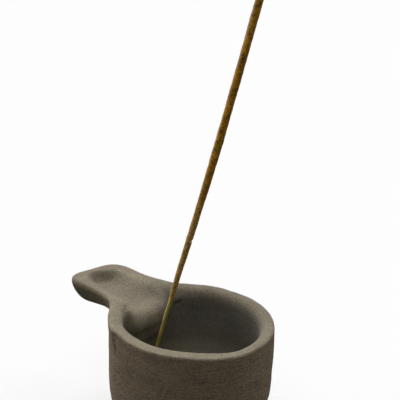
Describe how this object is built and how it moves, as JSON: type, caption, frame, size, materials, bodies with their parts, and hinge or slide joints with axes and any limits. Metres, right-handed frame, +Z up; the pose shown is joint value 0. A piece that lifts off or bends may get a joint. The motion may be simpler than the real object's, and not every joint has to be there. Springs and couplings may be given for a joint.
{
  "type": "incense burner",
  "caption": "Small matte stoneware cup with a sloping rounded rim and an open trough-shaped grip; a slanting incense stick stands in an angled socket in its floor and draws out lengthwise.",
  "frame": {"origin": "centre of the flat base, on the surface that the burner stands on", "axes": "+Z up, -X towards the end of the grip, +Y completes a right-handed frame; y = 0 is the mirror plane, which also holds the stick"},
  "size_m": [0.1137, 0.0762, 0.2245],
  "materials": {
    "stoneware": "matte, unglazed, fine grained",
    "bamboo": "split bamboo, satin",
    "paste": "dry rolled powder paste, matte"
  },
  "bodies": {
    "cup": {"bowl": "stoneware", "handle": "stoneware"},
    "stick": {"bamboo_core": "bamboo", "incense_paste": "paste"}
  },
  "joints": [
    {"name": "stick_draw", "type": "slide", "parent": "cup", "child": "stick", "axis": [0.3099, 0, 0.9508], "range_m": [0, 0.09]}
  ]
}
